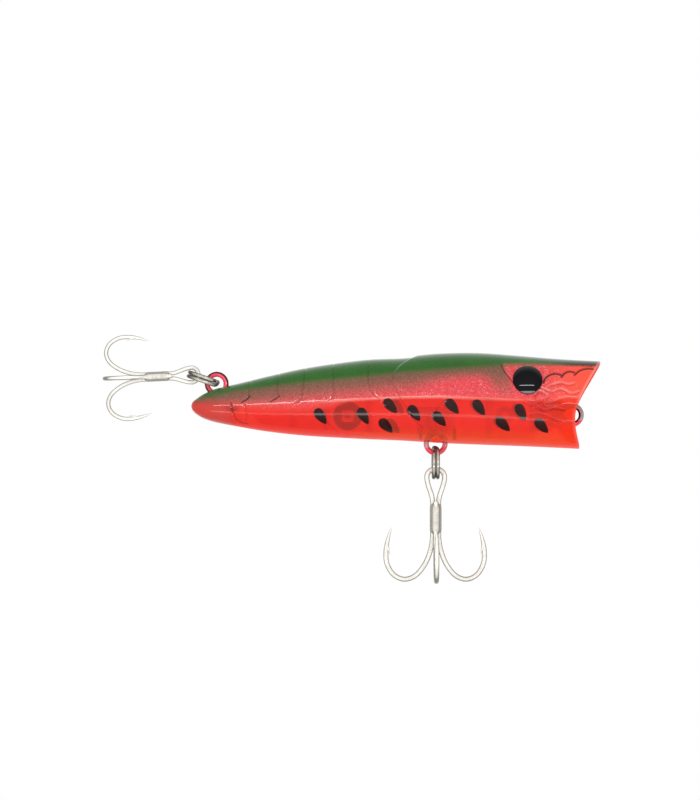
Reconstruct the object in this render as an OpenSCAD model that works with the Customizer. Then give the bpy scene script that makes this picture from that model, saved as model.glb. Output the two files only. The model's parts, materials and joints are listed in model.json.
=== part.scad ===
// Topwater popper: a hollow two-part body with a cupped mouth, three wire eyes,
// two split rings and two treble hooks. Millimetres, nose towards +X, back towards +Z.
// The origin is the centre of the line-tie eye, on the body's plane of symmetry.

/* [Body] */
// Length from the tail tip to the tip of the upper lip
body_l = 65; // [62:0.5:70]
// Greatest width across the flanks
body_w = 12.6; // [12:0.1:13.4]
// Thickness of the moulded wall
wall = 1.1; // [0.9:0.05:1.3]

/* [Mouth] */
// Depth of the cup behind its own widest section
cup_depth = 4.2; // [3.8:0.1:4.6]
// Thickness of the lip around the cup
lip = 0.95; // [0.8:0.05:1.1]

/* [Eyes] */
// Diameter of an eye
eye_d = 4.7; // [4.2:0.1:4.9]
// How far the eyes look up from level, in degrees
eye_tilt = 22; // [18:1:26]

/* [Wire eyes] */
// Diameter of the wire that the three eyes are bent from
wire_d = 0.84; // [0.7:0.02:0.9]
// Outside diameter of a wire eye
loop_d = 3.86; // [3.7:0.02:4]

/* [Split rings] */
// Outside diameter of a split ring
ring_d = 5.4; // [5.3:0.1:5.6]
// Diameter of the split-ring wire
ring_wire_d = 0.62; // [0.56:0.02:0.64]

/* [Treble hooks] */
// Overall length of the belly hook
hook_l = 18.4; // [18:0.1:19.5]
// Size of the tail hook as a share of the belly hook
tail_hook_size = 0.83; // [0.8:0.01:0.9]
// Diameter of the belly hook's wire
hook_wire_d = 0.8; // [0.7:0.02:0.84]

/* [Ballast] */
// Diameter of the steel ball
ball_d = 4.6; // [4:0.1:4.8]
// Free travel of the ball each way
ball_play = 0.5; // [0.3:0.05:0.6]

/* [Hidden] */

drawn_l = 64.516;             // the outline below is drawn at this length
k = body_l / drawn_l;
wide = body_w / 12.6;
fit_gap = 0.06;               // room around a wire in its moulded channel
cut = 60;                     // longer than anything that it cuts

// Outline of the body: distance from the origin, back, belly and half width.
body_rows = [for (r = [
    [-60.1, 1.60, 1.15, 0.20], [-59.9, 2.05, 0.70, 0.70], [-59.3, 2.55, 0.10, 1.30],
    [-58.1, 3.35, -0.60, 1.90], [-56.0, 4.20, -1.25, 2.60], [-52.5, 5.00, -1.90, 3.40],
    [-48.0, 6.10, -2.65, 4.15], [-42.0, 7.40, -3.30, 4.95], [-34.0, 8.55, -3.77, 5.65],
    [-27.0, 9.15, -4.07, 6.05], [-21.0, 9.70, -4.45, 6.25], [-15.0, 9.80, -4.70, 6.30],
    [-9.0, 9.40, -4.92, 6.20], [-3.0, 8.90, -5.18, 6.00], [1.0, 8.65, -5.38, 5.85],
    [5.2, 8.45, -5.60, 5.60]]) [k * r[0], k * r[1], k * r[2], wide * r[3]]];
squareness = 0.9;             // 1 is an ellipse, and less is squarer
back_narrowing = 0.06;        // the back is this much narrower than the middle, and the belly wider
section_points = 28;
steps_between_rows = 3;

function back_at(x) = lookup(x, [for (r = body_rows) [r[0], r[1]]]);
function belly_at(x) = lookup(x, [for (r = body_rows) [r[0], r[2]]]);
function half_width_at(x) = lookup(x, [for (r = body_rows) [r[0], r[3]]]);

// A smooth curve through points, of any dimension, with n steps between neighbours.
function spline(p, n) = [
    for (i = [0 : len(p) - 2], j = [0 : n - 1])
        let (t = j / n, a = p[max(i - 1, 0)], b = p[i], c = p[i + 1], d = p[min(i + 2, len(p) - 1)])
        (2 * b + (c - a) * t + (2 * a - 5 * b + 4 * c - d) * t * t
            + (3 * b - a - 3 * c + d) * t * t * t) / 2,
    p[len(p) - 1]];

stations = spline(body_rows, steps_between_rows);

function bent(v) = sign(v) * pow(abs(v), squareness);
function section(s, inset) = [for (i = [0 : section_points - 1])
    let (a = 360 * i / section_points)
    [s[0],
     (s[3] - inset) * bent(cos(a)) * (1 - back_narrowing * sin(a)),
     (s[1] + s[2]) / 2 + ((s[1] - s[2]) / 2 - inset) * bent(sin(a))]];

// A closed solid through rings of points, each ring counter-clockwise about the way they run.
module skin(rings) {
    n = len(rings[0]);
    m = len(rings);
    polyhedron(
        points = [for (r = rings) each r],
        faces = [[for (i = [0 : n - 1]) i],
            for (j = [0 : m - 2], i = [0 : n - 1], half = [0, 1])
                let (a = j * n + i, b = j * n + (i + 1) % n)
                half ? [b, a + n, b + n] : [a, a + n, b],
            [for (i = [n - 1 : -1 : 0]) (m - 1) * n + i]],
        convexity = 8);
}

// A round wire of the given radii along a path. No stretch of the path runs along side.
module tube(path, radii, side, sides = 8) {
    last = len(path) - 1;
    skin([for (i = [0 : last])
        let (ahead = path[min(i + 1, last)] - path[max(i - 1, 0)],
             t = ahead / norm(ahead),
             u0 = cross(side, t), u = u0 / norm(u0), v = cross(t, u),
             r = is_list(radii) ? radii[i] : radii)
        [for (s = [0 : sides - 1])
            let (a = 360 * s / sides) path[i] + r * (cos(a) * u + sin(a) * v)]]);
}

// ---- Body halves ----

mouth_x = 0.2 * k;            // the mouth's side edge at its deepest
mouth_z = -0.7 * k;
mouth_reach = 2.9 * k;
mouth_rise = 4.1 * k;         // how soon the edge leans forward above the deepest point
mouth_fall = 5.5 * k;         // and below it
function mouth_edge(z) = mouth_x
    + mouth_reach * (sqrt(1 + pow((z - mouth_z) / (z > mouth_z ? mouth_rise : mouth_fall), 2)) - 1);

cup_x = 1.0 * k;
beyond = 8;                   // how far the cup's cutter runs on past the mouth
cup_z = (back_at(cup_x) + belly_at(cup_x)) / 2;
cup_half_h = (back_at(cup_x) - belly_at(cup_x)) / 2 - lip;
cup_half_w = half_width_at(cup_x) - lip;

module cup(grow = 0) {
    hull() for (dx = [0, beyond])
        translate([cup_x + dx, 0, cup_z])
            scale([cup_depth + grow, cup_half_w + grow, cup_half_h + grow]) sphere(1, $fn = 32);
}

module beyond_the_mouth() {
    z_low = belly_at(0) - 3;
    z_high = back_at(0) + 2;
    steps = 20;
    rotate([90, 0, 0]) linear_extrude(cut, center = true)
        polygon([for (i = [0 : steps]) let (z = z_low + (z_high - z_low) * i / steps) [mouth_edge(z), z],
            [body_l, z_high], [body_l, z_low]]);
}

tie_boss = [6, 3, 4.2];
tie_boss_front = -1.2 * k;

module tie_boss_block() {
    translate([tie_boss_front - tie_boss[0], -tie_boss[1] / 2, -tie_boss[2] / 2]) cube(tie_boss);
}

// Each wire eye is a large eye outside the body and a small one in a pocket inside it.
loop_r = (loop_d - wire_d) / 2;
inner_r = 1.25;
half_gap = 0.01;              // half the space between two stretches of wire side by side
pocket_depth = wire_d + 0.03;
crossing = [1.9, 2.3];        // room where the wire crosses itself
tie_inner = [-3.6 * k, 0];
belly_eye = [-21.5 * k, belly_at(-21.5 * k) - 0.1];
belly_inner = belly_eye + [0, 3.4];
tail_eye = [-56.1 * k, back_at(-56.1 * k) + 0.76];
tail_inner = tail_eye + [2.35, -2.75];

// Solid stretches of the hollow that hold the wire eyes: low corner, then length and height.
wire_blocks = [[[-6.6 * k, -2.6], [5, 5.2]], [belly_inner - [2.9, 3], [5.8, 5.4]]];

ball_x = -35.4 * k;
ball_off = 0.15;              // the ball clears the floor under it
ball_z = belly_at(ball_x) + wall + ball_d / 2 + ball_off;
rib_t = 0.9;
rib_gap = 0.12;               // left between ball and rib at the end of the ball's travel
cradle = ball_d / 2 + ball_play + rib_gap;
rib_xs = [ball_x - cradle - rib_t, ball_x + cradle, -44.5 * k, -13.5 * k];
window_r = 1.7;
window_up = 0.68;             // height of a window, as a share of the way from belly to back
stub = 1.5;                   // width of the square stubs that keep the ball on the middle line
stub_gap = 0.3;

pins = [[-28.6 * k, 3.4 * k], [-16.2 * k, 5.4 * k], [-46.9 * k, 2.2 * k], [-10.6 * k, 0]];
pillar_r = 1.35;
pin_r = 0.7;
pin_l = 1.2;
pin_root = 0.5;
pin_gap = 0.06;
socket_spare = 0.3;           // a socket is deeper than its pin is long

// Everything that stands across the hollow, moulded half with each side.
module inner_walls() {
    for (x = rib_xs) difference() {
        translate([x, -cut / 2, -cut / 2]) cube([rib_t, cut, cut]);
        translate([x - 1, 0, back_at(x) * window_up + belly_at(x) * (1 - window_up)])
            rotate([0, 90, 0]) cylinder(r = window_r, h = rib_t + 2, $fn = 24);
    }
    for (b = wire_blocks)
        translate([b[0][0], -cut / 2, b[0][1]]) cube([b[1][0], cut, b[1][1]]);
    for (p = pins) translate([p[0], 0, p[1]]) rotate([90, 0, 0])
        cylinder(r = pillar_r, h = cut, center = true, $fn = 20);
    near = ball_d / 2 + stub_gap;
    for (y = [near, -near - cut])
        translate([ball_x - stub / 2, y, ball_z - stub / 2]) cube([stub, cut, stub]);
}

hollow_from = -51 * k;
hollow_to = 0;

module hollow() {
    difference() {
        skin([for (s = stations) if (s[0] > hollow_from && s[0] < hollow_to) section(s, wall)]);
        cup(wall);
        inner_walls();
    }
}

module moulded_body() {
    difference() {
        skin([for (s = stations) section(s, 0)]);
        hollow();
        difference() {
            union() {
                beyond_the_mouth();
                cup();
            }
            tie_boss_block();
        }
        wire_pocket([0, 0], tie_inner);
        wire_pocket(belly_eye, belly_inner);
        wire_pocket(tail_eye, tail_inner);
        for (s = [-1, 1]) eye_place(s) translate([0, 0, -eye_sunk])
            cylinder(d = eye_d + eye_gap, h = 4, $fn = 48);
    }
}

// The half of all space on side s of the plane of symmetry.
module side(s) {
    translate([-cut * 1.5, s > 0 ? 0 : -cut, -cut / 2]) cube([cut * 2, cut, cut]);
}

module left_shell() {
    color([0.85, 0.16, 0.14]) {
        intersection() {
            moulded_body();
            side(1);
        }
        for (p = pins) translate([p[0], pin_root, p[1]]) rotate([90, 0, 0])
            cylinder(r = pin_r, h = pin_root + pin_l, $fn = 16);
    }
}

module right_shell() {
    color([0.85, 0.16, 0.14]) difference() {
        intersection() {
            moulded_body();
            side(-1);
        }
        for (p = pins) translate([p[0], pin_root, p[1]]) rotate([90, 0, 0])
            cylinder(r = pin_r + pin_gap, h = pin_root + pin_l + socket_spare, $fn = 16);
    }
}

// ---- Eyes ----

eye_at = [-7.2 * k, 5.36 * wide, 5.52 * k];
eye_sunk = 0.5;
eye_gap = 0.1;
disc_t = 0.25;
dome_edge = 0.35;             // height of the dome's straight side
dome_cap = 0.85;              // and of the curved cap above it

module eye_place(s) {
    translate([eye_at[0], s * eye_at[1], eye_at[2]]) rotate([s * (eye_tilt - 90), 0, 0]) children();
}

module eye_disc(s) {
    color([0.03, 0.03, 0.04]) eye_place(s)
        translate([0, 0, -eye_sunk]) cylinder(d = eye_d, h = disc_t, $fn = 48);
}

module eye_dome(s) {
    r = (pow(eye_d / 2, 2) + pow(dome_cap, 2)) / (2 * dome_cap);
    high = dome_edge + dome_cap;
    color([0.05, 0.06, 0.07]) eye_place(s) translate([0, 0, disc_t - eye_sunk]) intersection() {
        translate([0, 0, high - r]) sphere(r, $fn = 64);
        cylinder(d = eye_d, h = high + 1, $fn = 48);
    }
}

// ---- Wire eyes ----

function way(eye, inner) = atan2(inner[1] - eye[1], inner[0] - eye[0]);
function lean(eye, inner) = acos((loop_r + inner_r) / norm(inner - eye));

// The two wires pass side by side where they cross, so each is shifted by half its thickness.
function figure_eight(eye, inner) =
    let (w = way(eye, inner), b = lean(eye, inner), shift = wire_d / 2 + half_gap, n = 16,
         start = inner + inner_r * [cos(w + 180 + b), sin(w + 180 + b)])
    [[start[0], -shift, start[1]],
     for (i = [0 : n]) let (a = w + b + (360 - 2 * b) * i / n)
        [eye[0] + loop_r * cos(a), -shift * cos(180 * i / n), eye[1] + loop_r * sin(a)],
     for (i = [0 : n - 4]) let (a = w + 180 - b - (315 - 2 * b) * i / (n - 4))
        [inner[0] + inner_r * cos(a), shift, inner[1] + inner_r * sin(a)]];

module eye_wire(eye, inner) {
    color([0.7, 0.2, 0.24]) tube(figure_eight(eye, inner), wire_d / 2, [0, 1, 0]);
}

// Room for a wire eye, open to the parting plane so that each half is laid over it.
module wire_pocket(eye, inner) {
    w = wire_d / 2 + fit_gap;
    rotate([90, 0, 0]) linear_extrude(2 * pocket_depth, center = true) {
        for (c = [[eye, loop_r], [inner, inner_r]]) translate(c[0]) difference() {
            circle(c[1] + w, $fn = 40);
            circle(c[1] - w, $fn = 32);
        }
        translate(eye + (inner - eye) * loop_r / (loop_r + inner_r)) rotate(way(eye, inner))
            square(crossing, center = true);
    }
}

// ---- Split rings: two turns of wire side by side ----

coil_r = (ring_d - ring_wire_d) / 2;
belly_hang = 0.645;           // the belly ring's wire rests this far from the middle of its wire eye
tail_hang = -0.15;            // and the tail ring's, which is pushed forward through its wire eye

function coil(turn) = abs(turn) < 28 ? sin(turn / 28 * 90) : sign(turn);
ring_path = [for (i = [0 : 46]) let (a = 32 + (688 - 32) * i / 46)
    [coil(a - 360) * (ring_wire_d / 2 + half_gap), coil_r * cos(a), coil_r * sin(a)]];

turned = 100;                 // brings the wire's ends round to the side

// The ring's axis is X before it is placed, and it hangs below its own origin.
module split_ring(hang) {
    color([0.78, 0.8, 0.82]) translate([0, 0, -hang - coil_r])
        rotate([turned, 0, 0]) tube(ring_path, ring_wire_d / 2, [1, 0, 0]);
}

// ---- Treble hooks: origin at the middle of the eye, shank down ----

shank_r = 0.56;
eye_r = 1.42;
shank_from = -3.8;
shank_to = -9.2;

// Distance from the shank's axis and height, from the end of the braze to the point.
hook_curve = [[0.58, -9.7], [0.95, -11.6], [1.9, -13.7], [3.6, -15.6], [5.7, -16.3],
    [7.7, -15.6], [8.9, -13.9], [9.1, -12.1], [8.8, -10.2], [8.1, -8.1]];
stretch = (hook_l - 4.6) / 13.8;      // the shank and bend lengthen and the eye stays the same

function out(angle, r, z) = [r * cos(angle), r * sin(angle), z * stretch];
function hook_points(angle) = [out(angle, shank_r, shank_from), out(angle, shank_r, -6.5),
    out(angle, shank_r, shank_to), for (p = hook_curve) out(angle, p[0], p[1])];
// Wire radius along a hook: even, then ground to a point over the last stretch.
function taper(n) = [for (i = [0 : n - 1]) let (from_tip = n - 1 - i)
    hook_wire_d / 2 * (from_tip > 3 ? 1 : 0.08 + 0.92 * sin(90 * from_tip / 4))];
function backwards(p) = [for (i = [len(p) - 1 : -1 : 0]) p[i]];

hook_steps = 2;
double_half = spline(concat(
    [for (a = [75, 45, 15, -15]) [eye_r * cos(a), 0, eye_r * sin(a)]],
    [[1.1, 0.05, -1.5], [0.72, 0.16, -2.6]], hook_points(30)), hook_steps);
double_path = concat(backwards(double_half), [for (p = double_half) [-p[0], p[1], p[2]]]);
double_radii = let (t = taper(len(double_half))) concat(backwards(t), t);
single_path = spline(hook_points(-90), hook_steps);

module hook_double(size = 1) {
    color([0.78, 0.8, 0.82]) scale(size) tube(double_path, double_radii, [0, 1, 0]);
}

module hook_single(size = 1) {
    color([0.78, 0.8, 0.82]) scale(size) tube(single_path, taper(len(single_path)), [1, 0, 0]);
}

// Solder that fills the space between the three shanks.
module hook_braze(size = 1) {
    long = (shank_from - shank_to) * stretch - 0.3;
    color([0.7, 0.68, 0.62]) scale(size) difference() {
        translate([0, 0, shank_from * stretch - 0.15 - long]) cylinder(r = 0.86, h = long, $fn = 32);
        for (a = [30, 150, -90]) translate([shank_r * cos(a), shank_r * sin(a), -20])
            cylinder(r = hook_wire_d / 2 + half_gap, h = 20, $fn = 24);
    }
}

// ---- Places of what hangs from the body ----

belly_drop = belly_hang + 2 * coil_r; // wire eye to hook eye
hook_forward = 0.35;                  // the tail hook is pushed this far forward on its ring
tail_drop = tail_hang + 2 * coil_r - hook_forward;
tail_lean = 109;                      // the tail ring lies back at this angle from hanging
tail_hook_lean = 87.5;                // and the tail hook at this one

module at_belly() {
    translate([belly_eye[0], 0, belly_eye[1]]) children();
}
module at_belly_hook() {
    at_belly() translate([0, 0, -belly_drop]) children();
}
module at_tail() {
    translate([tail_eye[0], 0, tail_eye[1]]) rotate([0, tail_lean, 0]) children();
}
module at_tail_hook() {
    at_tail() translate([0, 0, -tail_drop]) rotate([0, tail_hook_lean - tail_lean, 0]) children();
}

module left_eye_disc() { eye_disc(1); }
module right_eye_disc() { eye_disc(-1); }
module left_eye_dome() { eye_dome(1); }
module right_eye_dome() { eye_dome(-1); }
module line_tie_wire() { eye_wire([0, 0], tie_inner); }
module belly_hanger_wire() { eye_wire(belly_eye, belly_inner); }
module tail_hanger_wire() { eye_wire(tail_eye, tail_inner); }
module ballast_ball() {
    color([0.25, 0.2, 0.2]) translate([ball_x, 0, ball_z]) sphere(d = ball_d, $fn = 48);
}
module belly_split_ring() { at_belly() split_ring(belly_hang); }
module belly_hook_double() { at_belly_hook() hook_double(); }
module belly_hook_single() { at_belly_hook() hook_single(); }
module belly_hook_braze() { at_belly_hook() hook_braze(); }
module tail_split_ring() { at_tail() split_ring(tail_hang); }
module tail_hook_double() { at_tail_hook() hook_double(tail_hook_size); }
module tail_hook_single() { at_tail_hook() hook_single(tail_hook_size); }
module tail_hook_braze() { at_tail_hook() hook_braze(tail_hook_size); }

left_shell();
right_shell();
left_eye_disc();
left_eye_dome();
right_eye_disc();
right_eye_dome();
line_tie_wire();
belly_hanger_wire();
tail_hanger_wire();
ballast_ball();
belly_split_ring();
belly_hook_double();
belly_hook_single();
belly_hook_braze();
tail_split_ring();
tail_hook_double();
tail_hook_single();
tail_hook_braze();
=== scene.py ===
"""A topwater popper in translucent watermelon colours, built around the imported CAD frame.

Lengths in the outlines below are millimetres, in the frame of the model: the origin is the centre
of the line-tie eye, +X points to the nose, +Z to the back and +Y to the lure's left side.
"""

import json
import math

import bpy
import numpy as np
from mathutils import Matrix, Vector


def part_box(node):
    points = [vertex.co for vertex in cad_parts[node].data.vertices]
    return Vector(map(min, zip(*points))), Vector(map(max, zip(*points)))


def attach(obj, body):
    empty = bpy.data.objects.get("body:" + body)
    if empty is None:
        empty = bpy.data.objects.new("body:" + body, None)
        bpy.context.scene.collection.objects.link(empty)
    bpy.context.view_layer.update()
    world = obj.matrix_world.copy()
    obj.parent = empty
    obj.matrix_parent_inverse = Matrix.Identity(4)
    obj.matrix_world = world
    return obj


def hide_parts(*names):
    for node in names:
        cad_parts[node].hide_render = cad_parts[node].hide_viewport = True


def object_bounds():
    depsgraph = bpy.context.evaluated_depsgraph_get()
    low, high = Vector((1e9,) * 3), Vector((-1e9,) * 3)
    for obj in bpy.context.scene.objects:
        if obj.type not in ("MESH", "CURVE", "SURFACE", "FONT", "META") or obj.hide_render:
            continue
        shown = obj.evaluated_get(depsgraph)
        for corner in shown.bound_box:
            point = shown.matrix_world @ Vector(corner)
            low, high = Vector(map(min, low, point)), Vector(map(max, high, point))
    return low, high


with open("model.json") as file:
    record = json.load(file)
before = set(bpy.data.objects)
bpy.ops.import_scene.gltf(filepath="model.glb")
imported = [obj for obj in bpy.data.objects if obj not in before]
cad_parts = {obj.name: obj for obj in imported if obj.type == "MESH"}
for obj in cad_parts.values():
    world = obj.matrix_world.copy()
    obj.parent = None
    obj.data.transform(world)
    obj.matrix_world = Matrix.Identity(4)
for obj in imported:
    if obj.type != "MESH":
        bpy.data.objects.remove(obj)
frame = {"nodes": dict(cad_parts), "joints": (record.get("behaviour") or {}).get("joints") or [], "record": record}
cad_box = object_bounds()

MM = 0.001
joints = {j["name"]: j for j in frame["joints"]}
mounts = {m["name"]: m for m in frame["record"]["mounts"]}


def box_mm(node):
    low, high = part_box(node)
    return np.array(low) / MM, np.array(high) / MM


def size_of(node):
    low, high = box_mm(node)
    return high - low


def middle_of(node):
    low, high = box_mm(node)
    return (low + high) / 2


def joint_at(name):
    return np.array(joints[name]["pos_m"]) / MM


def mount_at(name):
    return np.array(mounts[name]["pos_m"]) / MM


# ---------------------------------------------------------------- sizes from the frame

DRAWN_HANGER_X = -21.5  # the outlines below are drawn with the belly hanger here
K = mount_at("belly_hanger")[0] / DRAWN_HANGER_X
DRAWN_HALF_WIDTH = 6.3
WIDE = box_mm("left_shell")[1][1] / DRAWN_HALF_WIDTH

WALL = 1.1
LIP = 0.8  # width of the mouth's rim
CUP_X = 1.0 * K  # where the cup in the mouth is widest
CUP_DEPTH = 4.2  # from there to its bottom
RIB = 0.9  # thickness of a bulkhead

BALL_AT = middle_of("ballast_ball")
BALL_R = size_of("ballast_ball")[0] / 2

LOOP_OUT = box_mm("line_tie_wire")[1][0]  # the line tie's eye is centred on the origin
WIRE_R = 0.42
LOOP_R = LOOP_OUT - WIRE_R  # radii to the middle of the wire
INNER_R = 1.25

RING_WIRE_R = 0.31
COIL_R = size_of("belly_split_ring")[1] / 2 - RING_WIRE_R

HOOK_WIRE_R = 0.4
DRAWN_HOOK_DROP = 16.3 + HOOK_WIRE_R  # down to the underside of the bend
HOOK_NECK = 2.8  # height of the eye and neck, which aren't stretched
belly_drop = joint_at("belly_treble_swing")[2] - box_mm("belly_hook_double")[0][2]
HOOK_STRETCH = (belly_drop - HOOK_NECK) / (DRAWN_HOOK_DROP - HOOK_NECK)
TAIL_SIZE = size_of("tail_hook_double")[1] / size_of("belly_hook_double")[1]
TAIL_HOOK_LEAN = math.radians(87.5)  # from hanging straight down

EYE_R = size_of("left_eye_dome")[0] / 2
EYE_AT = np.array([middle_of("left_eye_dome")[0], 5.36 * WIDE, 5.52 * K])
EYE_TILT = math.radians(22)  # how far up the eyes look
EYE_SUNK = 0.52

SPAN = cad_box[1][0] - cad_box[0][0]
TARGET = Vector((-35.04, 0, 2.35)) * MM * K  # the middle of the view
VIEW_HEIGHT = 126.4 * MM * K

# ---------------------------------------------------------------- the body's outline

# Distance from the origin, back, belly and half width.
BODY = np.array([
    [-60.1, 1.60, 1.15, 0.20], [-59.9, 2.05, 0.70, 0.70], [-59.3, 2.55, 0.10, 1.30],
    [-58.1, 3.35, -0.60, 1.90], [-56.0, 4.20, -1.25, 2.60], [-52.5, 5.00, -1.90, 3.40],
    [-48.0, 6.10, -2.65, 4.15], [-42.0, 7.40, -3.30, 4.95], [-34.0, 8.55, -3.77, 5.65],
    [-27.0, 9.15, -4.07, 6.05], [-21.0, 9.70, -4.45, 6.25], [-15.0, 9.80, -4.70, 6.30],
    [-9.0, 9.40, -4.92, 6.20], [-3.0, 8.90, -5.18, 6.00], [1.0, 8.65, -5.38, 5.85],
    [5.2, 8.45, -5.60, 5.60]]) * [K, K, K, WIDE]
SQUARENESS = 0.9
BACK_NARROWING = 0.06

# Where the sprayed green ends and where the sparkling coat ends, by distance from the origin.
GREEN_ENDS = np.array([[-60.5, 2.1], [-53, 3.75], [-45, 4.75], [-38, 5.5], [-33, 5.95], [-28, 6.5],
                       [-22, 7.0], [-15, 7.5], [-10, 7.85], [-4, 7.85], [5, 7.55]])
SPARKLE_ENDS = np.array([[-60.5, 1.6], [-54, 1.3], [-50, 0.9], [-43, 0.8], [-38.5, 1.3], [-35, 2.3],
                         [-27, 2.7], [-14, 2.7], [-8, 2.4], [5, 2.2]])
CREASE = np.array([[-60.5, 1.2], [-52, 1.35], [-46, 1.7], [-38, 2.2], [-27, 2.75], [-21, 2.85],
                   [-14, 2.5], [-8, 2.3], [5, 2.2]])

# Seeds: rounded end up and back, point down and forward. Centres on the flank, and slope.
SEEDS = [(-39.6, -0.25, -55), (-32.9, -0.2, -60), (-28.65, 1.35, -48), (-29.35, -1.75, -46),
         (-24.9, 0.25, -56), (-21.0, -0.65, -49), (-18.95, 1.3, -50), (-14.75, 1.1, -56),
         (-11.0, -1.5, -45), (-8.2, 0.4, -62), (-4.95, -1.75, -47)]
SHIFTED_SEEDS = (2, 3)  # on the left side these two sit a little further forward
LEFT_SEEDS = [(x, z, slope) if i not in SHIFTED_SEEDS else (x + 1.2, z - 0.1, slope)
              for i, (x, z, slope) in enumerate(SEEDS)]
SEED_LENGTH = 2.95
SEED_HALF_WIDTH = 0.84

# Engraved lines on each flank: half width, depth, how much painted shade lies in them, and the course.
ENGRAVINGS = [
    (0.09, 0.10, 0.9, [(-11.3, 7.9), (-10.7, 6.65), (-9.4, 4.95), (-8.9, 4.2)]),
    (0.15, 0.14, 1.0, [(-4.7, 5.1), (-4.3, 5.9), (-3.05, 6.5), (-1.85, 6.3)]),
    (0.15, 0.14, 1.0, [(-1.85, 6.0), (-1.3, 6.6), (-0.5, 6.85), (0.2, 6.7)]),
    (0.15, 0.14, 1.0, [(0.2, 6.3), (1.1, 7.0), (2.2, 7.3), (3.2, 7.25)]),
    (0.18, 0.24, 0.15, [(-3.4, 4.6), (-2.1, 5.0), (-0.8, 4.7), (0.1, 4.9)]),
    (0.20, 0.32, 0.1, [(-6.1, 3.0), (-5.4, 3.7), (-4.2, 3.0), (-4.6, 2.1), (-3.7, 1.7), (-2.0, 2.4),
                       (-1.0, 2.65), (0.6, 2.5)]),
    (0.20, 0.30, 0.4, [(-5.8, 1.2), (-4.6, 0.6), (-2.9, 0.95), (-1.6, 0.7)]),
    (0.18, 0.26, 0.1, [(-6.8, -0.1), (-5.4, 0.1), (-3.9, -0.4), (-2.2, -1.2)]),
    (0.16, 0.26, 0.1, [(-5.2, 4.3), (-3.4, 3.6), (-1.9, 4.0), (-0.4, 3.3), (0.8, 3.6)]),
    (0.14, 0.24, 0.1, [(-7.6, 1.9), (-6.3, 1.5), (-5.2, 2.2), (-4.2, 1.3), (-2.6, 1.5)]),
    (0.08, 0.08, 0.4, [(-32.1, 8.9), (-32.2, 6.0), (-32.0, 4.3), (-30.9, 2.9), (-29.6, 1.6)]),
    (0.08, 0.08, 0.4, [(-37.6, 8.4), (-37.7, 4.6), (-37.6, 3.5), (-38.3, 2.1)]),
    (0.08, 0.08, 0.4, [(-42.0, 7.6), (-42.5, 3.9), (-42.6, 2.9), (-43.6, 1.7)]),
    (0.07, 0.07, 0.35, [(-46.2, 6.6), (-46.5, 5.0), (-46.3, 2.9)]),
    (0.12, 0.10, 1.0, [(-46.2, 2.95), (-46.8, 2.5), (-47.5, 2.2)]),
    (0.07, 0.07, 0.35, [(-50.7, 5.6), (-51.0, 4.0), (-50.9, 3.0)]),
    (0.13, 0.10, 1.0, [(-50.8, 3.0), (-51.4, 2.4), (-52.1, 2.0)]),
    (0.11, 0.10, 0.7, [(-53.8, 2.0), (-53.6, 0.9), (-53.1, -0.5), (-52.4, -1.1), (-51.2, -1.4)]),
    (0.10, 0.08, 0.4, [(-51.6, 1.6), (-51.3, 0.3), (-51.4, -0.9)]),
    (0.07, 0.06, 0.5, [(-27.9, 4.0), (-27.0, 2.4), (-26.0, 0.6), (-24.8, -1.0), (-23.7, -2.0)]),
    (0.07, 0.06, 0.4, [(-19.9, 2.6), (-21.2, 1.2), (-22.0, 0.0), (-21.4, -1.9)]),
    (0.07, 0.06, 0.4, [(-39.0, -0.9), (-37.7, -2.0), (-36.6, -3.4)]),
]
CREASE_HEIGHT = 0.105
CREASE_FACET = 0.44  # height of the flat facet under the crease
CREASE_SHOULDER = 4.5  # height over which the flank above falls back to the body's own outline
CREASE_RISES = (-42, -35)  # where it comes out of the flank, from the tail
CREASE_SINKS = (-11, -6)
CREASE_LIGHT = 0.16  # half width of the painted highlight along its edge
LIT_LIP_DEPTH = 0.2  # lines deeper than this have a painted highlight on the lip above them
PLATE_STEP = 0.26  # height of the front plate's edge above the back plate
PLATE_EDGE = (-28.3, 4.6, 3.3)  # X and Z of its foot, and how far it leans forward at twice that Z


def plate_edge(z):
    """X of the front plate's edge at z."""
    x, foot, lean = PLATE_EDGE
    return (x + lean * np.clip((z - foot) / foot, 0, 1.2) ** 3) * K


def smooth_curve(points, steps):
    """Catmull-Rom through points, with steps between neighbours."""
    p = np.asarray(points, float)
    out = []
    for i in range(len(p) - 1):
        a, b, c, d = p[max(i - 1, 0)], p[i], p[i + 1], p[min(i + 2, len(p) - 1)]
        for j in range(steps):
            t = j / steps
            out.append((2 * b + (c - a) * t + (2 * a - 5 * b + 4 * c - d) * t**2
                        + (3 * b - a - 3 * c + d) * t**3) / 2)
    out.append(p[-1])
    return np.array(out)


FINE_BODY = smooth_curve(BODY, 24)


def along_body(x, column):
    return np.interp(x, FINE_BODY[:, 0], FINE_BODY[:, column])


def bent(v):
    return np.sign(v) * np.abs(v) ** SQUARENESS


def body_point(x, angle, inset=0.0):
    """y and z on the body at x, at an angle about its axis that runs from +Y to +Z."""
    back, belly, half = (along_body(x, i) for i in (1, 2, 3))
    s, c = np.sin(angle), np.cos(angle)
    y = np.maximum(half - inset, 0.02) * bent(c) * (1 - BACK_NARROWING * s)
    z = (back + belly) / 2 + ((back - belly) / 2 - inset) * bent(s)
    return y, z


MOUTH_X = 0.2 * K
MOUTH_Z = -0.7 * K
MOUTH_REACH = 2.9 * K


def mouth_edge(z):
    scale = np.where(z > MOUTH_Z, 4.1, 5.5) * K
    return MOUTH_X + MOUTH_REACH * (np.sqrt(1 + ((z - MOUTH_Z) / scale) ** 2) - 1)


def mouth_x(angle):
    x = np.full_like(angle, MOUTH_X)
    for _ in range(30):
        x = 0.5 * x + 0.5 * mouth_edge(body_point(x, angle)[1])
    return x


# ---------------------------------------------------------------- mesh helpers

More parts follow.
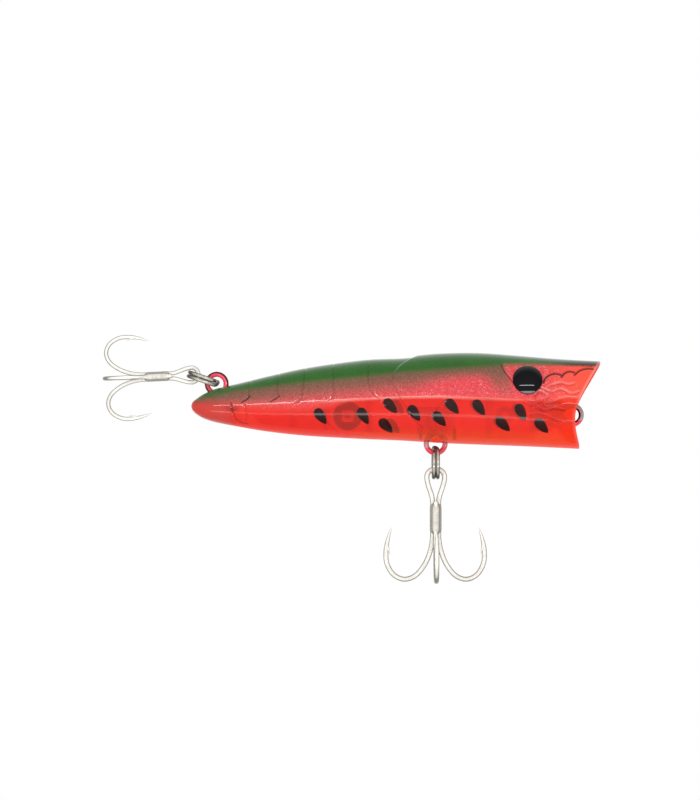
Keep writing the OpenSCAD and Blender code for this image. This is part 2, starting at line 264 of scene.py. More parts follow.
def make_piece(name, points_mm, faces, body, material, smooth=True):
    mesh = bpy.data.meshes.new(name)
    mesh.from_pydata((np.asarray(points_mm, float) * MM).tolist(), [], faces)
    mesh.validate()
    mesh.update()
    if smooth:
        mesh.polygons.foreach_set("use_smooth", [True] * len(mesh.polygons))
    piece = bpy.data.objects.new(name, mesh)
    bpy.context.scene.collection.objects.link(piece)
    mesh.materials.append(material)
    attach(piece, body)
    return piece


def grid_faces(rows, columns, start=0, closed=False):
    """Quads between rows of points, all rows having the same number of columns."""
    faces = []
    across = columns if closed else columns - 1
    for r in range(rows - 1):
        for c in range(across):
            a, b = start + r * columns + c, start + r * columns + (c + 1) % columns
            faces.append((a, b, b + columns, a + columns))
    return faces


def add_attribute(piece, name, values):
    attribute = piece.data.attributes.new(name, "FLOAT", "POINT")
    attribute.data.foreach_set("value", np.asarray(values, np.float32))


def swept(path, radii, side, sides=18):
    """Points and faces of a round wire along a path that never runs along side."""
    path = np.asarray(path, float)
    radii = np.broadcast_to(np.asarray(radii, float), len(path))
    ahead = np.gradient(path, axis=0)
    ahead /= np.linalg.norm(ahead, axis=1)[:, None]
    u = np.cross(np.asarray(side, float), ahead)
    u /= np.linalg.norm(u, axis=1)[:, None]
    v = np.cross(ahead, u)
    turn = np.arange(sides) * 2 * math.pi / sides
    points = [p + r * (math.cos(a) * uu + math.sin(a) * vv)
              for p, r, uu, vv in zip(path, radii, u, v) for a in turn]
    faces = grid_faces(len(path), sides, closed=True)
    faces.append(tuple(range(sides))[::-1])
    faces.append(tuple(range((len(path) - 1) * sides, len(path) * sides)))
    return np.array(points), faces


def join_parts(parts):
    """One list of points and faces from several."""
    points, faces = [], []
    for p, f in parts:
        start = sum(len(q) for q in points)
        points.append(np.asarray(p))
        faces += [tuple(i + start for i in face) for face in f]
    return np.concatenate(points), faces


# ---------------------------------------------------------------- material helpers

class Nodes:
    """A short way to write the node tree of a material or a world."""

    def __init__(self, name, kind="Material"):
        self.owner = (bpy.data.worlds if kind == "World" else bpy.data.materials).new(name)
        self.owner.use_nodes = True
        self.tree = self.owner.node_tree
        self.tree.nodes.clear()
        self.out = self.tree.nodes.new(f"ShaderNodeOutput{kind}")
        self.object_co = None

    def add(self, kind, settings=None, **inputs):
        node = self.tree.nodes.new(kind)
        for key, value in (settings or {}).items():
            setattr(node, key, value)
        for key, value in inputs.items():
            self.feed(node.inputs[key.replace("_", " ")], value)
        return node

    def feed(self, socket, value):
        if isinstance(value, bpy.types.NodeSocket):
            self.tree.links.new(value, socket)
        elif socket.type == "RGBA" and len(value) == 3:
            socket.default_value = (*value, 1)
        else:
            socket.default_value = value

    def position(self):
        if self.object_co is None:
            self.object_co = self.add("ShaderNodeTexCoord").outputs["Object"]
        return self.object_co

    def attribute(self, name):
        return self.add("ShaderNodeAttribute", {"attribute_name": name}).outputs["Fac"]

    def maths(self, operation, a, b=0.0):
        node = self.add("ShaderNodeMath", {"operation": operation})
        self.feed(node.inputs[0], a)
        self.feed(node.inputs[1], b)
        return node.outputs[0]

    def between(self, value, low, high, to_low=0.0, to_high=1.0):
        """value taken smoothly from low..high to to_low..to_high."""
        node = self.add("ShaderNodeMapRange", {"interpolation_type": "SMOOTHSTEP"})
        self.feed(node.inputs[0], value)
        for i, v in enumerate((low, high, to_low, to_high)):
            node.inputs[i + 1].default_value = v
        return node.outputs[0]

    def mix(self, factor, a, b):
        node = self.add("ShaderNodeMix", {"data_type": "RGBA"})
        self.feed(node.inputs[0], factor)
        self.feed(node.inputs[6], a)
        self.feed(node.inputs[7], b)
        return node.outputs[2]

    def noise(self, per_mm, detail=3.0, roughness=0.5):
        return self.add("ShaderNodeTexNoise", Vector=self.position(), Scale=per_mm / MM,
                        Detail=detail, Roughness=roughness).outputs["Fac"]

    def cells(self, per_mm):
        return self.add("ShaderNodeTexVoronoi", Vector=self.position(), Scale=per_mm / MM)

    def bump(self, height, strength, distance_mm):
        return self.add("ShaderNodeBump", Height=height, Strength=strength,
                        Distance=distance_mm * MM).outputs["Normal"]

    def shade(self, shader):
        self.tree.links.new(shader, self.out.inputs["Surface"])
        return self.owner

    def shade_between(self, factor, first, second):
        mixed = self.add("ShaderNodeMixShader", Fac=factor)
        self.feed(mixed.inputs[1], first.outputs[0])
        self.feed(mixed.inputs[2], second.outputs[0])
        return self.shade(mixed.outputs[0])


def linear(r, g, b):
    """Linear colour from 0 to 255 display values."""
    return tuple((v / 255 / 12.92) if v <= 10 else (((v / 255) + 0.055) / 1.055) ** 2.4
                 for v in (r, g, b))


GREEN = linear(48, 99, 38)
GREEN_DEEP = linear(38, 82, 34)
DARK_EDGE = linear(34, 26, 16)
OLIVE = linear(140, 98, 82)
OLIVE_DARK = linear(112, 76, 60)
PINK = linear(238, 84, 92)
PINK_DARK = linear(200, 56, 62)
PINK_LIGHT = linear(255, 150, 150)
PINK_NOSE = linear(250, 78, 50)
ORANGE = linear(255, 104, 54)
RED = linear(255, 78, 66)
RED_DEEP = linear(240, 54, 48)
RED_CLOUDY = linear(240, 50, 46)
RED_NOSE = linear(255, 76, 8)
RED_TAIL = linear(204, 66, 58)
SEED = linear(28, 5, 2)
SEED_THIN = linear(52, 16, 10)
# GROOVE is painted shade in the engraved lines, and LIT_EDGE a painted highlight
GROOVE = linear(44, 18, 14)
LIT_EDGE = linear(255, 176, 164)
DYE = linear(255, 118, 100)  # what the dyed wall does to light that passes it
RED_COVER = 0.34  # how much of the look of the red wall is its own, and not what lies behind


def sprayed_amounts(n, grain, nose):
    """How much green and how much olive lies at a place. Their edges are speckled."""
    speckle = n.maths("MULTIPLY", n.maths("SUBTRACT", grain, 0.5), 0.8)
    edge = n.maths("ADD", n.attribute("over_green"), speckle)
    stretch = n.maths("ADD", 1.0, n.maths("MULTIPLY", n.attribute("fore"), 0.7))
    off_head = n.between(n.attribute("head"), 0.0, 1.0, 1.0, 0.12)
    olive = n.between(n.maths("MULTIPLY", edge, stretch), -3.9, -0.4)
    sharper = n.maths("ADD", 1.0, n.maths("MULTIPLY", nose, 2.0))
    green = n.between(n.maths("MULTIPLY", edge, sharper), -0.6, 0.6)
    return green, n.maths("MULTIPLY", olive, off_head)


def dyed_red(n, over_crease, cloud, nose, solid_tail):
    """Orange at the belly and the mouth, deeper towards the crease and dull in the solid tail."""
    red = n.mix(n.between(over_crease, -6.2, -4.4), ORANGE, RED)
    red = n.mix(n.between(over_crease, -2.6, -0.8, 0.0, 0.4), red, RED_DEEP)
    red = n.mix(n.between(cloud, 0.35, 0.7, 0.0, 0.2), red, RED_CLOUDY)
    red = n.mix(n.maths("MULTIPLY", nose, 0.85), red, RED_NOSE)
    return n.mix(n.maths("MULTIPLY", solid_tail, 0.85), red, RED_TAIL)


def sparkling_coat(n, flake_tone, olive_amount, nose):
    """Pink flakes of uneven tone, a few of them bright, and olive ones below the green."""
    pearl = n.mix(n.between(flake_tone, 0.1, 0.95), PINK_DARK, PINK)
    pearl = n.mix(n.between(flake_tone, 0.93, 0.97), pearl, PINK_LIGHT)
    olive = n.mix(n.between(flake_tone, 0.1, 0.95), OLIVE_DARK, OLIVE)
    pearl = n.mix(olive_amount, pearl, olive)
    return n.mix(n.maths("MULTIPLY", nose, 0.85), pearl, PINK_NOSE)


def shell_material():
    """Clear plastic dyed red, with sprayed green over a sparkling coat on the upper half."""
    n = Nodes("watermelon_plastic")
    over_crease, painted_shade, nose, solid_tail = (
        n.attribute(name) for name in ("over_crease", "painted_line_shade", "nose", "solid_tail"))
    cloud = n.noise(0.35, 4.0, 0.6)
    grain = n.noise(6.0, 2.0, 0.6)
    flake_tone = n.add("ShaderNodeSeparateColor", Color=n.cells(7.0).outputs["Color"]).outputs[0]

    green_amount, olive_amount = sprayed_amounts(n, grain, nose)
    pearl_amount = n.between(over_crease, -0.25, 0.7)
    seed_amount = n.between(n.attribute("seed"), -0.09, 0.03, 1.0, 0.0)
    painted_highlight = n.maths("MULTIPLY", n.attribute("painted_highlight_edge"), n.between(grain, 0.2, 0.6, 0.35, 0.75))

    colour = n.mix(pearl_amount, dyed_red(n, over_crease, cloud, nose, solid_tail),
                   sparkling_coat(n, flake_tone, olive_amount, nose))
    green = n.mix(n.between(cloud, 0.3, 0.7, 0.0, 0.45), GREEN, GREEN_DEEP)
    colour = n.mix(green_amount, colour, n.mix(nose, green, DARK_EDGE))
    # painted highlight along the crease, the lips of deep lines and the mouth's rim
    colour = n.mix(painted_highlight, colour, LIT_EDGE)
    colour = n.mix(seed_amount, colour, n.mix(n.between(grain, 0.35, 0.75), SEED, SEED_THIN))
    # painted shade in the engraved lines and at the foot of the front plate's edge
    colour = n.mix(painted_shade, colour, GROOVE)

    # the red is clear, and what lies on it isn't: seeds, painted shade, painted highlight and the solid tail
    cover = n.between(over_crease, -0.5, 0.6, RED_COVER, 1.0)
    for amount, most in ((seed_amount, 0.98), (painted_shade, 0.9), (painted_highlight, 0.9), (solid_tail, 0.8)):
        cover = n.maths("MAXIMUM", cover, n.maths("MULTIPLY", amount, most))

    sparkle = n.maths("MULTIPLY", pearl_amount, n.between(flake_tone, 0.6, 0.97))
    sparkle = n.maths("MULTIPLY", sparkle, n.between(n.attribute("head"), 0.0, 1.0, 1.0, 0.25))
    height = n.maths("ADD", n.maths("MULTIPLY", grain, 0.35), n.maths("MULTIPLY", flake_tone, sparkle))
    plastic = n.add(
        "ShaderNodeBsdfPrincipled",
        Base_Color=colour,
        Roughness=n.between(sparkle, 0.0, 1.0, 0.34, 0.24),
        Metallic=n.maths("MULTIPLY", sparkle, n.between(green_amount, 0.0, 1.0, 0.35, 0.0)),
        Normal=n.bump(height, 0.2, 0.03),
        Coat_Weight=1.0, Coat_Roughness=0.04, IOR=1.35)
    return n.shade_between(cover, n.add("ShaderNodeBsdfTransparent", Color=DYE), plastic)


def inner_plastic(name, cover, painted_shade_scale=1.0):
    """The same dyed plastic inside the body, where ribs and blocks show through the wall. A scale below 1 darkens
    it as painted shade.
    """
    n = Nodes(name)
    cloud = n.noise(0.5, 3.0)
    colour = n.mix(n.between(cloud, 0.3, 0.7), linear(250 * painted_shade_scale, 60 * painted_shade_scale, 50 * painted_shade_scale),
                   linear(222 * painted_shade_scale, 34 * painted_shade_scale, 32 * painted_shade_scale))
    plastic = n.add("ShaderNodeBsdfPrincipled", Base_Color=colour, Roughness=0.22,
                    Normal=n.bump(cloud, 0.1, 0.05), IOR=1.5)
    through = n.add("ShaderNodeBsdfTransparent", Color=linear(255, 190, 180))
    return n.shade_between(n.between(cloud, 0.2, 0.8, cover, cover * 1.3), through, plastic)


def plated_metal(name, bright, dull, edge, metallic, roughness):
    """Plated wire: fine drawing marks, a little uneven plating, and painted shade where it turns away."""
    n = Nodes(name)
    cloud = n.noise(1.2, 4.0)
    marks = n.noise(14.0, 2.0, 0.7)
    colour = n.mix(n.between(cloud, 0.35, 0.7), bright, dull)
    # painted shade towards the edges that turn away
    turned = n.add("ShaderNodeLayerWeight", Blend=0.5).outputs["Facing"]
    colour = n.mix(n.between(turned, 0.12, 0.5), colour, edge)
    metal = n.add("ShaderNodeBsdfPrincipled", Base_Color=colour, Metallic=metallic,
                  Roughness=n.between(marks, 0.3, 0.7, roughness * 0.75, roughness * 1.4),
                  Normal=n.bump(marks, 0.05, 0.02))
    return n.shade(metal.outputs[0])


def painted_wire():
    """Wire eyes: overspray in red with painted shade along one side, left as bare wire where the piece says so."""
    n = Nodes("painted_wire")
    cloud = n.noise(0.9, 4.0, 0.6)
    fine = n.noise(9.0, 3.0)
    wear = n.maths("ADD", n.maths("MULTIPLY", cloud, 0.5), n.maths("MULTIPLY", fine, 0.2))
    worn = n.between(n.maths("ADD", wear, n.attribute("bare")), 0.62, 0.74)
    # painted shade where the wire turns away and on one side of each eye, with a ragged edge
    turned = n.add("ShaderNodeLayerWeight", Blend=0.5).outputs["Facing"]
    shade_edge_noise = n.maths("MULTIPLY", n.maths("SUBTRACT", cloud, 0.5), 1.2)
    painted_shade = n.between(n.maths("ADD", n.attribute("painted_shade_side"), shade_edge_noise), 0.45, 0.6)
    paint = n.mix(painted_shade, linear(236, 70, 92), linear(36, 14, 16))
    steel = n.mix(n.between(turned, 0.3, 0.8), linear(220, 216, 212), linear(84, 78, 76))
    steel = n.mix(painted_shade, steel, linear(58, 26, 26))
    colour = n.mix(worn, paint, steel)
    metal = n.add("ShaderNodeBsdfPrincipled", Base_Color=colour,
                  Metallic=n.maths("MULTIPLY", worn, 0.6),
                  Roughness=n.between(fine, 0.3, 0.7, 0.2, 0.34),
                  Normal=n.bump(fine, 0.2, 0.03), Coat_Weight=0.6, Coat_Roughness=0.08)
    return n.shade(metal.outputs[0])


def eye_black(name, roughness):
    """Black epoxy over a black foil disc, with a few specks of dust in it."""
    n = Nodes(name)
    speck = n.cells(3.0).outputs["Distance"]
    colour = n.mix(n.between(speck, 0.03, 0.08, 1.0, 0.0), linear(9, 10, 13), linear(54, 60, 66))
    epoxy = n.add("ShaderNodeBsdfPrincipled", Base_Color=colour,
                  Roughness=n.between(n.noise(0.8), 0.3, 0.7, roughness, roughness * 1.8),
                  Normal=n.bump(n.noise(0.7, 2.0), 0.15, 0.05), Coat_Weight=1.0, Coat_Roughness=0.03)
    return n.shade(epoxy.outputs[0])


def ball_steel():
    n = Nodes("ball_steel")
    cloud = n.noise(0.9, 4.0)
    colour = n.mix(n.between(cloud, 0.3, 0.7), linear(66, 40, 38), linear(40, 26, 26))
    steel = n.add("ShaderNodeBsdfPrincipled", Base_Color=colour, Metallic=0.5,
                  Roughness=n.between(n.noise(8.0), 0.3, 0.7, 0.3, 0.45), Normal=n.bump(cloud, 0.1, 0.03))
    return n.shade(steel.outputs[0])


# ---------------------------------------------------------------- the body halves

def distance_to_course(x, z, course):
    best = np.full(x.shape, 1e9)
    for (ax, az), (bx, bz) in zip(course, course[1:]):
        dx, dz = bx - ax, bz - az
        t = np.clip(((x - ax) * dx + (z - az) * dz) / (dx * dx + dz * dz), 0, 1)
        best = np.minimum(best, np.hypot(x - ax - t * dx, z - az - t * dz))
    return best


def smoothstep(v, low, high):
    t = np.clip((v - low) / (high - low), 0, 1)
    return t * t * (3 - 2 * t)


def seed_field(x, z, side):
    """Below zero inside a seed, in millimetres."""
    field = np.full(x.shape, 9.0)
    for sx, sz, slope in SEEDS if side < 0 else LEFT_SEEDS:
        dx, dz = x - sx * K, z - sz * K
        c, s = math.cos(math.radians(slope)), math.sin(math.radians(slope))
        u, v = dx * c + dz * s, dz * c - dx * s
        t = np.clip(u / SEED_LENGTH + 0.5, 0, 1)
        width = SEED_HALF_WIDTH * np.sin(np.pi * t**0.64) ** 0.62
        over = np.maximum(np.abs(u) - SEED_LENGTH / 2, 0)
        field = np.minimum(field, np.hypot(np.maximum(np.abs(v) - width, 0), over)
                           + np.minimum(np.abs(v) - width, 0))
    return field


def surface_detail(x, z):
    """How far the surface stands out, the painted shade in its engraved lines and at the front plate's edge, and
    the painted highlight on its edges.
    """
    out = np.zeros(x.shape)
    painted_shade = np.zeros(x.shape)
    painted_highlight = np.zeros(x.shape)
    for width, depth, darkness, course in ENGRAVINGS:
        line = smooth_curve(np.array(course) * K, 6)
        shape = np.exp(-((distance_to_course(x, z, line) / width) ** 2))
        out -= depth * shape
        # painted shade along the engraved line
        painted_shade = np.maximum(painted_shade, darkness * shape)
        # a deep line gets a painted highlight on the lip above it
        if depth > LIT_LIP_DEPTH:
            lip = np.exp(-((distance_to_course(x, z - 1.4 * width, line) / (0.45 * width)) ** 2))
            painted_highlight = np.maximum(painted_highlight, 0.6 * lip)
    # the crease along the flank, faded at both ends
    crease = np.interp(x, CREASE[:, 0] * K, CREASE[:, 1] * K)
    fade = smoothstep(x, *CREASE_RISES) * (1 - smoothstep(x, *CREASE_SINKS))
    over = z - crease
    ridge = np.clip(1 - np.where(over > 0, over / CREASE_SHOULDER, -over / CREASE_FACET), 0, 1)
    out += CREASE_HEIGHT * fade * ridge
    # a painted highlight along the crease's edge
    painted_highlight = np.maximum(painted_highlight, fade * np.exp(-((over / CREASE_LIGHT) ** 2)))
    # the front plate's edge, which stands proud of the plate behind it, with painted shade along its foot
    behind = plate_edge(z) - x
    drop = PLATE_STEP * smoothstep(behind, -0.05, 0.3) * (1 - smoothstep(behind, 0.5, 7))
    out -= drop * smoothstep(z, 4.2, 6.2)
    painted_shade = np.maximum(painted_shade, 0.45 * np.exp(-((behind - 0.1) / 0.09) ** 2) * smoothstep(z, 4.4, 6.0))
    return out, painted_shade, painted_highlight


ROWS_BODY = 470
ROWS_RIM = 7
ROWS_CUP = 40
COLUMNS = 168
ROW_CROWDING = 0.35  # how much closer the rows stand at the tail and the mouth than on average
TIP = 0.04  # how far the tail's point stands out
SEAM = 0.02  # half the hairline between the two halves
LIP_ROUNDING = 0.08
CUP_CLOSED = 0.9995  # share of the cup's depth at which its sheet ends

ACROSS = np.linspace(-math.pi / 2, math.pi / 2, COLUMNS)  # from the belly to the back of a half
MOUTH_ENDS = mouth_x(ACROSS)


def cup_shrink(x):
    """How much the cup has closed in at x: 1 at its widest and 0 at its deepest."""
    return np.sqrt(np.clip(1 - np.clip((CUP_X - x) / CUP_DEPTH, 0, 1) ** 2, 0, 1))


def cup_point(x, angle):
    back, belly, half = (float(along_body(CUP_X, i)) for i in (1, 2, 3))
    shrink = cup_shrink(x)
    y = (half - LIP) * shrink * np.cos(angle)
    z = (back + belly) / 2 + ((back - belly) / 2 - LIP) * shrink * np.sin(angle)
    return y, z


def press_eye_pocket(outer):
    """The seat of the eye, under its disc. The surface is still on the +Y side here."""
    facing = np.array([0, math.cos(EYE_TILT), math.sin(EYE_TILT)])
    away = outer - EYE_AT
    height = away @ facing
    radius = np.linalg.norm(away - height[:, :, None] * facing, axis=2)
    inside = (1 - smoothstep(radius, EYE_R - 0.2, EYE_R + 0.02)) * (height > -2)
    return outer - facing * (np.maximum(height + EYE_SUNK, 0) * inside)[:, :, None]


def outer_skin():
    """The outside from tail to mouth, on the +Y side, with how dark and how pale it is."""
    start = BODY[0, 0]
    share = np.linspace(0, 1, ROWS_BODY)
    share = share - ROW_CROWDING * np.sin(2 * np.pi * share) / (2 * np.pi)
    rows = []
    for s in share:
        x = start + (MOUTH_ENDS - start) * s
        rows.append(np.stack([x, *body_point(x, ACROSS)], 1))
    rows[0][:] = [start - TIP, 0, rows[0][:, 2].mean()]
    outer = np.array(rows)
    x, y, z = np.moveaxis(outer, 2, 0)
    out, painted_shade, painted_highlight = surface_detail(x, z)
    away = np.stack([np.zeros_like(x), y, z - (along_body(x, 1) + along_body(x, 2)) / 2], 2)
    away /= np.maximum(np.linalg.norm(away, axis=2), 1e-6)[:, :, None]
    from_rim = MOUTH_ENDS[None, :] - x
    # a painted highlight along the mouth's rim
    painted_highlight = np.maximum(painted_highlight, 0.6 * np.exp(-(((from_rim - 0.1) / 0.22) ** 2)))
    outer = outer + away * (out * smoothstep(from_rim, 0.05, 0.5))[:, :, None]
    return press_eye_pocket(outer), painted_shade, painted_highlight


def lip_and_cup(edge):
    """Rows over the rounded lip, from the outside's edge, and on to the bottom of the cup."""
    widest = np.maximum(MOUTH_ENDS, CUP_X - 0.6)  # the lip isn't wider where the mouth falls back
    inside = np.stack([MOUTH_ENDS, *cup_point(widest, ACROSS)], 1)
    rows = []
    for i in range(1, ROWS_RIM):
        t = i / ROWS_RIM
        row = edge + (inside - edge) * t
        row[:, 0] += LIP_ROUNDING * math.sin(math.pi * t)
        rows.append(row)
    for i in range(ROWS_CUP):
        t = math.sin(math.pi / 2 * i / (ROWS_CUP - 1))
        x = MOUTH_ENDS + (CUP_X - CUP_DEPTH * CUP_CLOSED - MOUTH_ENDS) * t
        rows.append(np.stack([x, *cup_point(x, ACROSS)], 1))
    return rows


def mark_shell(piece, points, side, painted_shade, painted_highlight):
    """What the shell's material asks about each point of a half."""
    x, z = points[:, 0], points[:, 2]
    outside = np.arange(len(points)) < ROWS_BODY * COLUMNS
    over_green = z - np.interp(x, GREEN_ENDS[:, 0] * K, GREEN_ENDS[:, 1] * K)
    sparkle_ends = np.interp(x, SPARKLE_ENDS[:, 0] * K, SPARKLE_ENDS[:, 1] * K)
    over_crease = (z - sparkle_ends) / (1 + 1.2 * smoothstep(-x, 34, 42))
    add_attribute(piece, "over_green", np.where(outside, over_green, np.minimum(over_green, -4)))
    add_attribute(piece, "over_crease", np.where(outside, over_crease, np.minimum(over_crease, -0.6)))
    add_attribute(piece, "seed", np.where(outside, seed_field(x, z, side), 9))
    for label, field in (("painted_line_shade", painted_shade), ("painted_highlight_edge", painted_highlight)):
        values = np.zeros(len(points))
        values[outside] = field.reshape(-1)
        add_attribute(piece, label, values)
    add_attribute(piece, "nose", smoothstep(x, -7, 2.5))
    add_attribute(piece, "head", smoothstep(x + 0.35 * (z - 7.5), -11.6, -10.2))
    fore = smoothstep(x, -26, -18) * (1 - smoothstep(x, -16, -12)) - 0.5 * smoothstep(x, -15, -11)
    add_attribute(piece, "fore", fore)
    add_attribute(piece, "solid_tail", smoothstep(-x, 51.5, 56))


def half_shell(side):
    """Outside, lip and cup of one half as one sheet. side is 1 for the left half, -1 for the right."""
    outer, painted_shade, painted_highlight = outer_skin()
    sheet = np.concatenate([outer, np.array(lip_and_cup(outer[-1]))])
    sheet[:, :, 1] = np.maximum(sheet[:, :, 1], SEAM)
    sheet[:, :, 1] *= side
    points = sheet.reshape(-1, 3)
    faces = grid_faces(len(sheet), COLUMNS)
    if side < 0:
        faces = [f[::-1] for f in faces]
    name = "left" if side > 0 else "right"
    piece = make_piece(f"{name}_half", points, faces, "lure_body", SHELL)
    mark_shell(piece, points, side, painted_shade, painted_highlight)
    return piece


HOLLOW = (-51 * K, -4.4 * K)  # where the hollow starts and ends
HOLLOW_ROUNDED = (21.6, 23.3)  # distances from its middle over which its ends close in


def inner_skin(side):
    """The wall's inner face on one half, with its parting edge."""
    name = "left" if side > 0 else "right"
    angle = np.linspace(-math.pi / 2, math.pi / 2, 48)
    xs = np.linspace(*HOLLOW, 110)
    middle = sum(HOLLOW) / 2
    rows = []
    for x in xs:
        taper = 1 - smoothstep(abs(x - middle), *HOLLOW_ROUNDED) * 0.55
        y, z = body_point(np.full_like(angle, x), angle, WALL)
        centre = (along_body(x, 1) + along_body(x, 2)) / 2
        z = centre + (z - centre) * taper
        rows.append(np.stack([np.full_like(angle, x), y * taper * side, z], 1))
    points = np.array(rows).reshape(-1, 3)
    faces = grid_faces(len(xs), len(angle))
    if side > 0:
        faces = [f[::-1] for f in faces]
    faces.append(tuple(range(len(angle))))
    faces.append(tuple(range((len(xs) - 1) * len(angle), len(xs) * len(angle))))
    piece = make_piece(f"{name}_wall_inside", points, faces, "lure_body", INNER_SKIN)
    return piece


# ---------------------------------------------------------------- what stands inside the body

WINDOW_R = 1.7
WINDOW_UP = 0.68  # share of the height at which the window stands


def bulkhead(x, index):
    """A rib across the hollow with a round window."""
    around = 48
    angle = np.linspace(0, 2 * math.pi, around, endpoint=False)
    window_z = along_body(x, 1) * WINDOW_UP + along_body(x, 2) * (1 - WINDOW_UP)
    edge = body_point(np.full_like(angle, x), angle, WALL)
    window = (WINDOW_R * np.cos(angle), window_z + WINDOW_R * np.sin(angle))
    rings = [np.stack([np.full_like(angle, x + dx), *outline], 1)
             for dx, outline in ((0, edge), (RIB, edge), (RIB, window), (0, window), (0, edge))]
    faces = grid_faces(len(rings), around, closed=True)
    piece = make_piece(f"bulkhead_{index}", np.concatenate(rings), faces, "lure_body", INNER, False)


def rounded_block(name, low, high, corner, material):
    """A moulded block with its edges taken off."""
    mesh = bpy.data.meshes.new(name)
    corners = [[x, y, z] for x in (low[0], high[0]) for y in (low[1], high[1])
               for z in (low[2], high[2])]
    faces = [(0, 1, 3, 2), (4, 6, 7, 5), (0, 4, 5, 1), (2, 3, 7, 6), (0, 2, 6, 4), (1, 5, 7, 3)]
    mesh.from_pydata((np.array(corners, float) * MM).tolist(), [], faces)
    mesh.materials.append(material)
    piece = bpy.data.objects.new(name, mesh)
    bpy.context.scene.collection.objects.link(piece)
    bevel = piece.modifiers.new("edges", "BEVEL")
    bevel.width = corner * MM
    bevel.segments = 3
    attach(piece, "lure_body")
    return piece


def side_block(name, side, centre, half, reach, corner, material):
    """A block on one side: centre and half size in X and Z, and how far out it starts and ends."""
    (x, z), (dx, dz) = centre, half
    near, far = sorted((side * reach[0], side * reach[1]))
    rounded_block(name, (x - dx, near, z - dz), (x + dx, far, z + dz), corner, material)


PILLAR_R = 1.35
# Radius and y of the turned steps of a locating pin, from its shoulder to the bottom of its socket.
PIN_STEPS = [(PILLAR_R, 1.0), (PILLAR_R, 0.35), (1.15, 0.12), (0.72, 0.1), (0.72, -0.6), (0.5, -0.75),
             (0.5, -1.2), (1.1, -1.3), (PILLAR_R, -1.5)]


def locating_pillar(x, z, index):
    """A pin in its socket on the parting plane: a stepped, turned column across the body."""
    reach = float(body_point(np.array(x), np.array(math.asin(0.3)), WALL)[0]) - 0.3
    rings = [(PILLAR_R, reach), *PIN_STEPS, (PILLAR_R, -reach)]
    around = 28
    turn = np.arange(around) * 2 * math.pi / around
    across, up = np.cos(turn), np.sin(turn)
    points = np.concatenate([np.stack([x + r * across, np.full(around, y), z + r * up], 1)
                             for r, y in rings])
    faces = grid_faces(len(rings), around, closed=True)
    piece = make_piece(f"locating_pin_{index}", points, faces, "lure_body", INNER)


CRADLE = BALL_R + 0.62  # from the ball's centre to the bulkheads beside it
BULKHEAD_XS = [BALL_AT[0] - CRADLE - RIB, BALL_AT[0] + CRADLE, -44.5 * K, -13.5 * K]
PINS = [(-28.6, 3.4), (-16.2, 5.4), (-46.9, 2.2), (-10.6, 0)]
STUB_REACH = (BALL_R + 0.3, 4.3)
PIP_REACH = (4.3, 4.9)
HANGER_RIBS = [-2.4, -0.8, 0.95, 3.0]  # distances from the hanger
HANGER_RIB_REACH = (1.2, 2.0)


def inside_of_body():
    for i, x in enumerate(BULKHEAD_XS):
        bulkhead(x, i + 1)
    for i, (x, z) in enumerate(PINS):
        locating_pillar(x * K, z * K, i + 1)
    x, _, z = mount_at("belly_hanger")
    rounded_block("belly_wire_block", (x - 2.9, -2.3, z + 1.5), (x + 2.9, 2.3, z + 5.8), 0.25, INNER)
    rounded_block("nose_wire_block", (-6.6 * K, -3.2, -2.6), (-3.3, 3.2, 2.6), 0.25, INNER)
    rounded_block("line_tie_boss", (-3.4, -1.5, -2.1), (-1.2, 1.5, 2.1), 0.3, INNER)
    ball = BALL_AT[[0, 2]]
    for side in (1, -1):
        label = "left" if side > 0 else "right"
        side_block(f"{label}_ball_stub", side, ball, (0.95, 0.95), STUB_REACH, 0.3, INNER_SOLID)
        side_block(f"{label}_ball_stub_pip", side, ball, (0.4, 0.35), PIP_REACH, 0.08, INNER_PAINTED_SHADE)
        # short ribs that stiffen the seat of the belly hanger
        for i, step in enumerate(HANGER_RIBS):
            side_block(f"{label}_hanger_rib_{i + 1}", side, (x + step, z + 1.55), (0.18, 0.95),
                       HANGER_RIB_REACH, 0.06, INNER_RIB_PAINTED_SHADE)


# ---------------------------------------------------------------- wire eyes, rings and hooks

EYE_STEPS = 60
INNER_STEPS = 48
INNER_SWEEP = math.radians(315)  # how far the wire's far end goes round the small eye


def figure_eight(eye, inner):
    """A wire bent into a large eye and a small one, passing beside itself where it crosses."""
    gap = inner - eye
    way = math.atan2(gap[1], gap[0])
    lean = math.acos((LOOP_R + INNER_R) / np.hypot(*gap))
    shift = WIRE_R + 0.01
    start = way + math.pi + lean
    path = [[inner[0] + INNER_R * math.cos(start), -shift, inner[1] + INNER_R * math.sin(start)]]
    for i in range(EYE_STEPS + 1):
        a = way + lean + (2 * math.pi - 2 * lean) * i / EYE_STEPS
        path.append([eye[0] + LOOP_R * math.cos(a), -shift * math.cos(math.pi * i / EYE_STEPS),
                     eye[1] + LOOP_R * math.sin(a)])
    sweep = INNER_SWEEP - 2 * lean
    for i in range(INNER_STEPS + 1):
        a = way + math.pi - lean - sweep * i / INNER_STEPS
        path.append([inner[0] + INNER_R * math.cos(a), shift, inner[1] + INNER_R * math.sin(a)])
    return path


def wire_eye(node, eye, inner, bare_wire, painted_shade_side):
    """The last argument is 1 for painted shade on the outside of the eye and -1 for the inside."""
    points, faces = swept(figure_eight(np.array(eye), np.array(inner)), WIRE_R, (0, 1, 0))
    piece = make_piece(f"{node}_bent", points, faces, "lure_body", PAINTED_WIRE)
    # the paint stays on at the bottom of the eye
    bare = bare_wire * smoothstep(points[:, 2] - eye[1], -1.4, -0.4)
    add_attribute(piece, "bare", bare)
    out = np.hypot(points[:, 0] - eye[0], points[:, 2] - eye[1]) - LOOP_R
    # painted shade on one side of the eye
    add_attribute(piece, "painted_shade_side", smoothstep(painted_shade_side * out, 0.0, 0.3))
    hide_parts(node)


